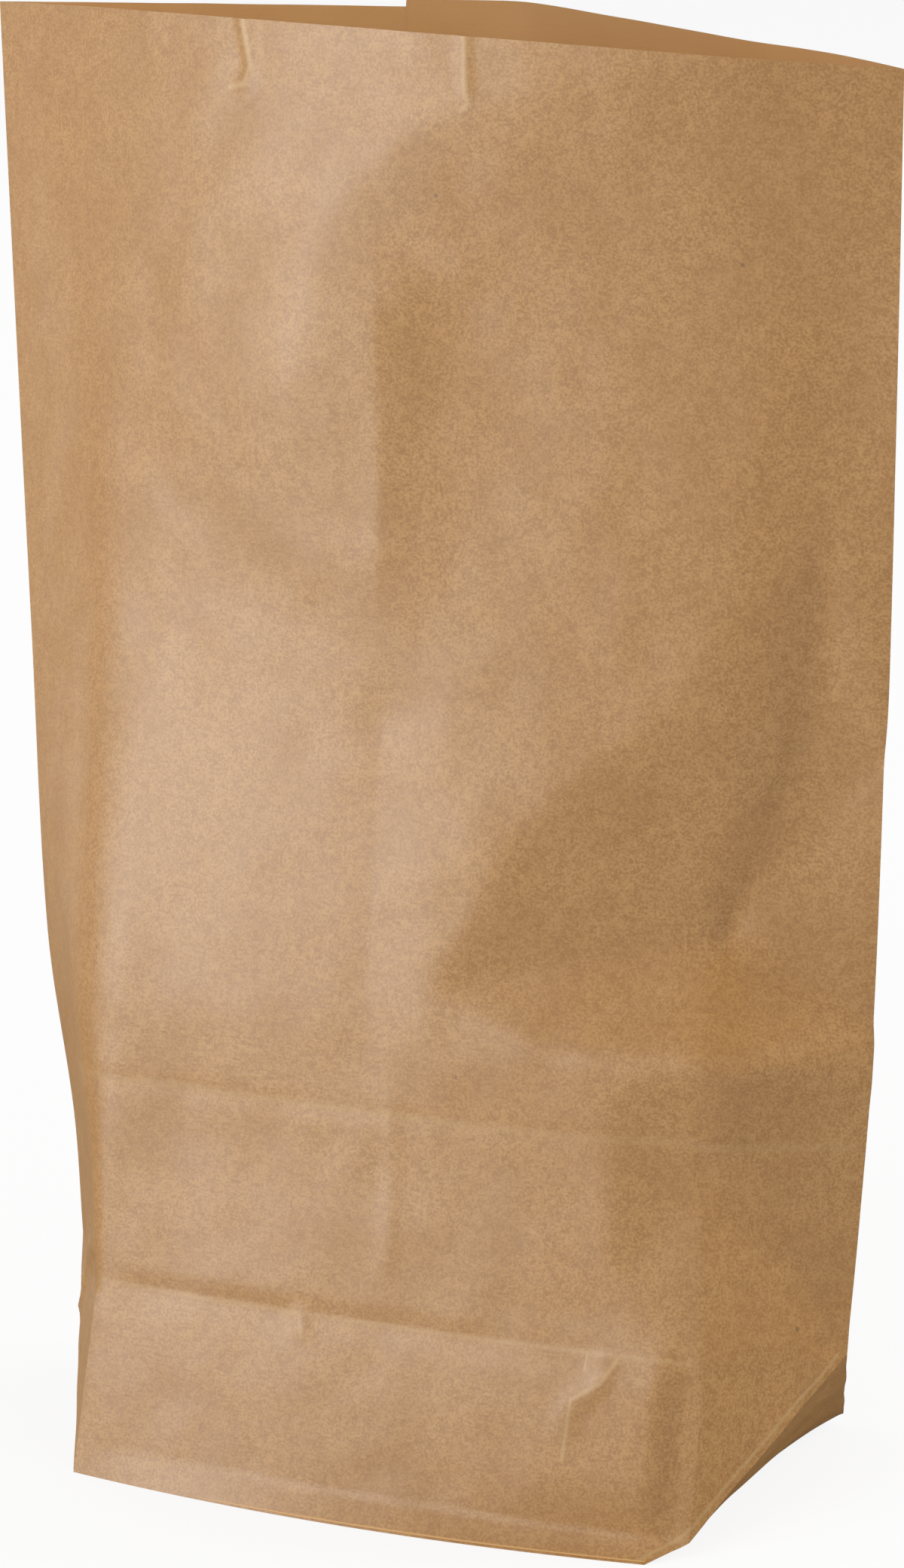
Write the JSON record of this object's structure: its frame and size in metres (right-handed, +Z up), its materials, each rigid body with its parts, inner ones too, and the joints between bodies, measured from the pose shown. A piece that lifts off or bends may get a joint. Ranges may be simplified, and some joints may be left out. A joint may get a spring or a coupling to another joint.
{
  "type": "paper bag",
  "caption": "Flat-bottomed brown paper lunch bag, opened and standing with its mouth half open; the front is creased above the folded base and the panels are softly dented.",
  "frame": {"origin": "on the surface the bag stands on, under the middle of its folded base", "axes": "+Z up to the rim, -Y towards the creased front panel, +X to the right of that panel"},
  "size_m": [0.156, 0.0696, 0.2299],
  "materials": {
    "kraft_paper": "matt uncoated brown kraft paper, finely fibrous, soft creases"
  },
  "bodies": {
    "root": {"paper_bag": "kraft_paper"}
  },
  "joints": []
}
